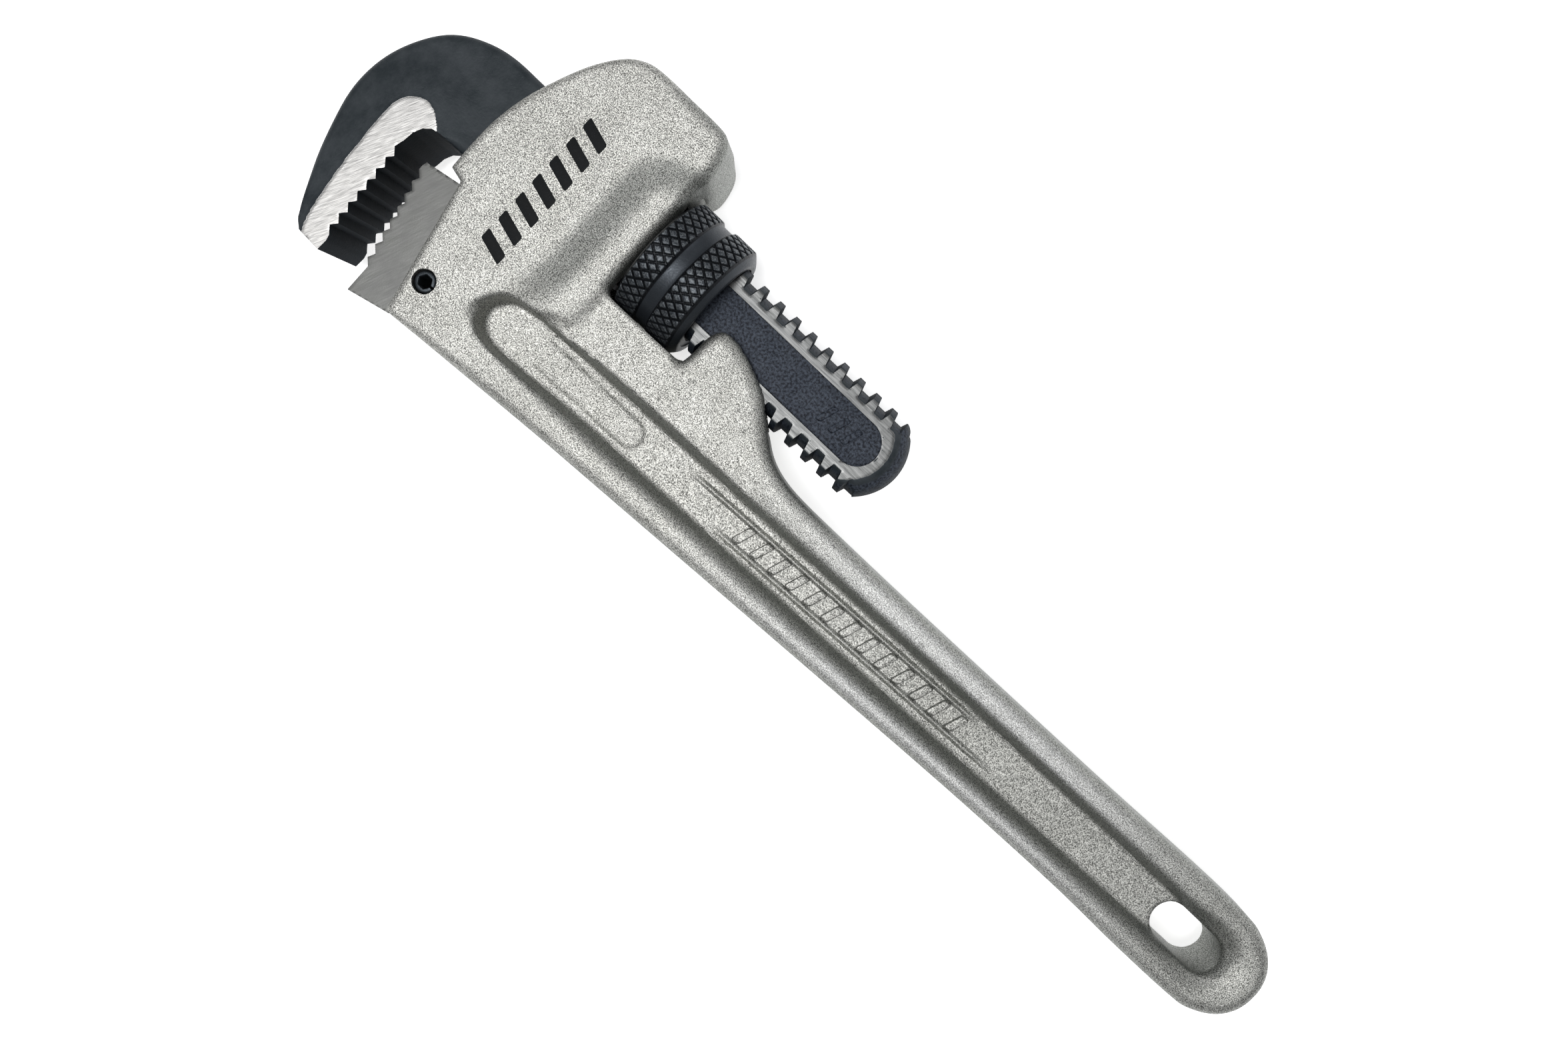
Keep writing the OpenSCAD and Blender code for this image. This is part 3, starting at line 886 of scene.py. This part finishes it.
def panel_outline():
    """The panel sunk in the shank's flats, with a round right end."""
    end = [(PANEL_END[0] + PANEL_R * math.cos(a), PANEL_END[1] + PANEL_R * math.sin(a))
           for a in np.radians(np.arange(-90, 91, 10))]
    return np.array([(PANEL_LEFT, PANEL_END[1] - PANEL_R), *end,
                     (PANEL_LEFT, PANEL_END[1] + PANEL_R)])


def head_body(x, y, side, outline, off_ground):
    """Head and neck: flat where ground, and falling away softly behind that."""
    fall = GROUND_STEP * ramp(off_ground, 0, 0.5) + HEAD_FALL * ramp(off_ground, 0.3, 11)
    crown = HEAD_CROWN * ramp(side, 2, 9) * ramp(y, 4, 7)
    return both(side - JAW_Z + fall, outline + crown, 0.12 + 1.5 * ramp(off_ground, 0.8, 5))


def screw(x, y, z):
    """Rod with a right-hand thread, which dies out towards the head."""
    phase = (x - CREST_X) / PITCH - np.arctan2(z, y) / (2 * math.pi)
    off_crest = np.abs(phase - np.round(phase)) * PITCH
    thread = (CREST_R - ROOT_R) * (1 - np.clip((off_crest - CREST_HALF) / FLANK, 0, 1))
    return (np.hypot(y, z) - ROOT_R - thread * ramp(x, -27, -25)) * FLANK_SCALE


def shank_body(x, y, z, panel):
    """Threaded shank with flats on its sides, a domed end and a panel sunk in each flat."""
    side = np.abs(z)
    shank = np.maximum(both(screw(x, y, z), side - SHANK_Z, 0.16), SHANK_LEFT - x)
    a, b, c = DOME_HALF
    dome = np.sqrt(((x - DOME_X) / a) ** 2 + (y / b) ** 2 + (z / c) ** 2) - 1
    shank = both(shank, np.where(x > 30, dome * 9, -9.0), 0.4)
    sunk = both(panel + 0.25 * (side - PANEL_Z), PANEL_Z - side, 0.7)
    return cut(shank, sunk, 0.15)


def hook_shape():
    """Distance function of the hook jaw: forged head and neck, threaded shank."""
    head, ground, panel = head_outline(), ground_outline(), panel_outline()

    def shape(x, y, z):
        outer, off_ground = outline_distance(x, y, head), outline_distance(x, y, ground)
        return np.minimum(head_body(x, y, np.abs(z), outer, off_ground),
                          shank_body(x, y, z, outline_distance(x, y, panel)))

    return shape


def make_hook_jaw(material):
    """The forging: head, neck and threaded shank in one."""
    piece = sculpted("hook_jaw_forging", hook_shape(), (-71, -44.2, -9.6), (54.4, 10.6, 9.6),
                     (0.38, 0.8), material, "hook_jaw", "forged_steel", 32)
    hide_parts("hook_jaw")
    return piece


def make_panel_marks(material):
    """Three plain raised bars in each of the shank's panels."""
    parts = []
    for i in range(3):
        bar = slanted_bar(35.5 + i * 3.2, -0.1, 1.3, 4.2, 0.3, 0)
        parts.append(raised_plate(bar, PANEL_Z - 0.6, PANEL_Z + 0.4, 0.3))
    return solid("panel_marks", *on_both_sides(parts), material, "hook_jaw", "forged_steel", 50)


def heel_shape():
    """Distance function of the heel jaw: toothed block with a tongue into the housing."""
    block_outline = np.array(
        [(HEEL_BACK_TOP[0] - HEEL_GAP, HEEL_BACK_TOP[1] - HEEL_GAP), (-49.9, -17.6)]
        + teeth((-50.2, -19.4), (-45.2, -42.6), 0.95)
        + [(-44.9, HEEL_BOTTOM), (HEEL_BACK_BOTTOM[0] - HEEL_GAP, HEEL_BACK_BOTTOM[1] - 0.7)])
    tongue_outline = np.array([(-43, -26.8), (-34, -26.8), (-30.8, -29.6), (-30.8, -37),
                               (-33.4, -39.4), (-43, -39.4)])

    def shape(x, y, z):
        side = np.abs(z)
        jaw = both(outline_distance(x, y, block_outline), side - JAW_Z, 0.25)
        tongue = both(outline_distance(x, y, tongue_outline), side - TONGUE_Z, 0.3)
        bore = np.hypot(x - PIN_AT[0], y - PIN_AT[1]) - PIN_R - BORE_ROOM
        return np.maximum(np.minimum(jaw, tongue), -bore)

    return shape


def make_heel_jaw(material):
    """The toothed insert in front of the housing."""
    piece = sculpted("heel_jaw_block", heel_shape(), (-51, -45.7, -9.6), (-30, -15.5, 9.6),
                     (0.3, 0.6), material, "handle", "heel_steel", 32)
    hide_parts("heel_jaw")
    return piece


PIN_HALF = (HOUSING_T - 1) / 2 - 0.15  # its ends lie a little under the housing's faces
PIN_BORE = 1.12  # half the width of the pin's six-sided bore
SLOT_HALF = math.radians(9)  # half the opening of its slot


def pin_section(z, outer, grow):
    """Loop round the slotted pin at height z: out along its skin, back along its bore."""
    angles = np.linspace(SLOT_HALF, 2 * math.pi - SLOT_HALF, 73)
    radii = [outer] * len(angles)
    for a in angles[::-1]:
        radii.append(PIN_BORE / max(math.cos((a % (math.pi / 3)) - math.pi / 6), 0.5) + grow)
    return [(PIN_AT[0] + r * math.cos(a), PIN_AT[1] + r * math.sin(a), z)
            for r, a in zip(radii, [*angles, *angles[::-1]])]


def make_pin(material):
    """Slotted spring pin with a six-sided bore and rounded ends."""
    round_end = ((0, 1.75, 0.2), (0.12, 1.95, 0.06), (0.4, PIN_R - 0.02, 0))
    loops = [pin_section(-PIN_HALF + up, outer, grow) for up, outer, grow in round_end]
    loops += [pin_section(PIN_HALF - up, outer, grow) for up, outer, grow in round_end[::-1]]
    vertices, faces = rings(loops)
    faces = [f[::-1] for f in faces]
    last = len(loops[0])
    for base, order in ((0, -1), (len(vertices) - last, 1)):
        for i in range(last // 2 - 1):
            quad = [base + i, base + i + 1, base + last - 2 - i, base + last - 1 - i]
            faces.append(quad[::order])
    piece = solid("spring_pin", vertices, faces, material, "handle", "pin_steel", 40)
    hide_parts("heel_jaw_pin")
    return piece


# ---- Nut ----------------------------------------------------------------------------------

GROOVES = 40
STEPS_PER_GROOVE = 14
KNURL_STEP = 0.2
KNURL_DEPTH = 0.55
GROOVE_HALF = 2.2  # in steps
KNURL_WEAR = 0.018  # spread of the wear on the diamonds
BAND_START = -8.4
FLANK_RUN = 0.45  # of the nut's inner thread
RIDGE_FOOT = PITCH / 2 - 0.8  # half the width of the nut's inner thread, at its foot


def nut_profile():
    """Outer profile of the nut from its left end: x, radius, and 1 where it is knurled."""
    points = [(-9, 10.9, 0), (-9, 12.0, 0), (-8.9, 12.35, 0), (-8.6, 12.75, 0)]
    points += [(x, NUT_R - 0.02, 1) for x in np.arange(BAND_START, -3.89, KNURL_STEP)]
    points += [(-3.75, 12.75, 0), (-3.6, 12.45, 0), (-3.35, 12.36, 0), (-2.7, 12.34, 0),
               (-1.6, 12.34, 0), (-0.95, 12.36, 0), (-0.7, 12.45, 0), (-0.55, 12.75, 0)]
    points += [(x, NUT_R - 0.02, 1) for x in np.arange(-0.4, 4.41, KNURL_STEP)]
    points += [(4.62, 12.78, 0), (5.0, 12.4, 0), (5.5, 11.85, 0), (5.9, 11.35, 0),
               (6.05, 11.1, 0), (6.1, 10.8, 0), (6.1, 10.3, 0)]
    return points


def knurl_depth(column, row):
    """Depth of the crossed grooves at a step around and a step along the nut."""
    depth = 0.0
    for sign in (1, -1):
        off = (column + sign * row) % STEPS_PER_GROOVE
        off = min(off, STEPS_PER_GROOVE - off)
        depth = max(depth, KNURL_DEPTH * max(0.0, 1 - off / GROOVE_HALF))
    return depth


def bore_radius(x, turn):
    """Radius inside the nut, at a share of a turn; its thread stops short of both faces."""
    phase = (x - CREST_X) / PITCH - turn - 0.5
    off = abs(phase - round(phase)) * PITCH
    rise = min(1.0, max(0.0, (RIDGE_FOOT - off) / FLANK_RUN))
    if x > 5.6 or x < -8.5:
        rise = 0.0
    bore, ridge = CREST_R + 0.3, ROOT_R + 0.2
    return bore - (bore - ridge) * rise


def make_nut(material):
    """Knurled nut with two bands, a smooth groove between them, and its thread inside."""
    profile = nut_profile()
    columns = GROOVES * STEPS_PER_GROOVE
    random = np.random.default_rng(7)
    wear = random.normal(0, KNURL_WEAR, (columns, len(profile)))
    steps = range(STEPS_PER_GROOVE)
    depth = np.array([[knurl_depth(i, j) for j in steps] for i in steps])
    loops = []
    for i in range(columns):
        section = []
        for j, (x, r, knurled) in enumerate(profile):
            if knurled:
                row = round((x - BAND_START) / KNURL_STEP)
                r -= depth[i % STEPS_PER_GROOVE, row % STEPS_PER_GROOVE]
                r -= abs(wear[i, j])
            section.append((x, r))
        section += [(x, bore_radius(x, i / columns)) for x in np.linspace(6.0, -8.9, 61)]
        a = 2 * math.pi * i / columns
        loops.append([(x, r * math.cos(a), r * math.sin(a)) for x, r in section])
    vertices, faces = rings(loops, closed=True)
    piece = solid("knurled_nut", vertices, faces, material, "nut", "nut_steel", 48)
    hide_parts("adjusting_nut")
    return piece


# ---- Springs ------------------------------------------------------------------------------


COIL_TURNS = 5
COIL_R = 3.35
WIRE_R = 0.6
WIRE_SKIN = 0.995  # the wire stays just inside the CAD's
COIL_GAP = 0.05  # between the coil's ends and what they rest on
STRIP_T = 1.0  # thickness of the flat spring


def make_coil(material):
    """Coil spring in its pocket, closer wound at its ends."""
    bottom = POCKET_FLOOR + WIRE_R + COIL_GAP
    rise = STRIP_TOP - STRIP_T - WIRE_R - COIL_GAP - bottom
    loops = []
    for t in np.linspace(0, 1, COIL_TURNS * 32 + 1):
        a = 2 * math.pi * COIL_TURNS * t
        height = bottom + rise * ramp(t, 0.0, 1.0) * 0.35 + rise * t * 0.65
        loop = []
        for b in np.radians(np.arange(0, 360, 30)):
            r = COIL_R + WIRE_R * math.cos(b) * WIRE_SKIN
            y = height + WIRE_R * WIRE_SKIN * math.sin(b)
            loop.append((COIL_X + r * math.cos(a), y, r * math.sin(a)))
        loops.append(loop)
    piece = solid("coil_spring_wire", *capped(loops), material, "handle", "spring_steel")
    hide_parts("coil_spring")
    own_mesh(piece)
    return piece


# ---- Studio -------------------------------------------------------------------------------

CAMERA_PLACE = (-0.00938, 0.00012, 0.2322)
CAMERA_TURN = (-2.563, 1.314, 43.551)
CAMERA_LENS = 25.99
SENSOR_WIDTH = 36.0
FLOOR_HALF = 3.0
FLOOR_GLOW = 0.62
SKY_STRENGTH = 0.25


def make_camera():
    """The photo's camera, straight above the wrench; turns in degrees, lens in mm."""
    data = bpy.data.cameras.new("camera")
    data.lens = CAMERA_LENS
    data.sensor_width = SENSOR_WIDTH
    data.clip_start = 0.01
    camera = bpy.data.objects.new("camera", data)
    camera.location = CAMERA_PLACE
    camera.rotation_euler = Euler([math.radians(a) for a in CAMERA_TURN])
    bpy.context.scene.collection.objects.link(camera)
    bpy.context.scene.camera = camera


def make_floor():
    """White ground that glows a little, so that the wrench's shadow stays faint."""
    corners = [(-1, -1), (1, -1), (1, 1), (-1, 1)]
    mesh = bpy.data.meshes.new("floor")
    mesh.from_pydata([(FLOOR_HALF * x, FLOOR_HALF * y, 0) for x, y in corners], [],
                     [(0, 1, 2, 3)])
    floor = bpy.data.objects.new("floor", mesh)
    bpy.context.scene.collection.objects.link(floor)
    p = Paint("pale_floor", 0.0)
    cloud = p.noise(60.0, 2.0)
    colour = p.colours(p.range(cloud, 0.3, 0.7), (0.90, 0.90, 0.90), (0.93, 0.93, 0.93))
    p.shader.inputs["Emission Color"].default_value = (1.0, 1.0, 1.0, 1.0)
    p.shader.inputs["Emission Strength"].default_value = FLOOR_GLOW
    floor.data.materials.append(p.finish(colour, p.range(cloud, 0.3, 0.7, 0.8, 0.9), []))


def soft_light(name, place, size, power):
    """Rectangular light of size metres at place, aimed at the wrench; power in watts."""
    data = bpy.data.lights.new(name, "AREA")
    data.shape = "RECTANGLE"
    data.size, data.size_y = size
    data.energy = power
    light = bpy.data.objects.new(name, data)
    light.location = place
    light.rotation_euler = (-Vector(place)).to_track_quat("-Z", "Y").to_euler()
    bpy.context.scene.collection.objects.link(light)


def make_studio():
    """Soft box overhead towards the jaws, weak fill from the housing's back, and a faint sky."""
    world = bpy.data.worlds.new("studio")
    world.use_nodes = True
    sky = world.node_tree.nodes["Background"].inputs
    sky["Color"].default_value = (0.95, 0.97, 1.0, 1.0)
    sky["Strength"].default_value = SKY_STRENGTH
    bpy.context.scene.world = world
    soft_light("overhead", (-0.12, -0.17, 1.21), (0.55, 0.38), 8.4)
    soft_light("fill", (0.15, 0.85, 0.75), (0.7, 0.4), 1.5)
    view = bpy.context.scene.view_settings
    view.view_transform = "Standard"
    view.exposure = 0.0


def carry_over(node, material):
    """A CAD node that stays visible, with its finish."""
    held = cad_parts[node].data.materials
    held.clear()
    held.append(material)


def build():
    """Make every piece and give it its material."""
    aluminium = cast_aluminium()
    forged = forged_steel()
    springs = spring_steel()
    make_handle(aluminium)
    make_marks(aluminium)
    make_printed_bars(black_print())
    make_hook_jaw(forged)
    make_panel_marks(forged)
    make_heel_jaw(hardened_steel())
    make_pin(pin_black())
    make_nut(nut_black())
    make_coil(springs)
    carry_over("flat_spring", springs)
    carry_over("spring_rivet", springs)


make_camera()
make_floor()
make_studio()
build()
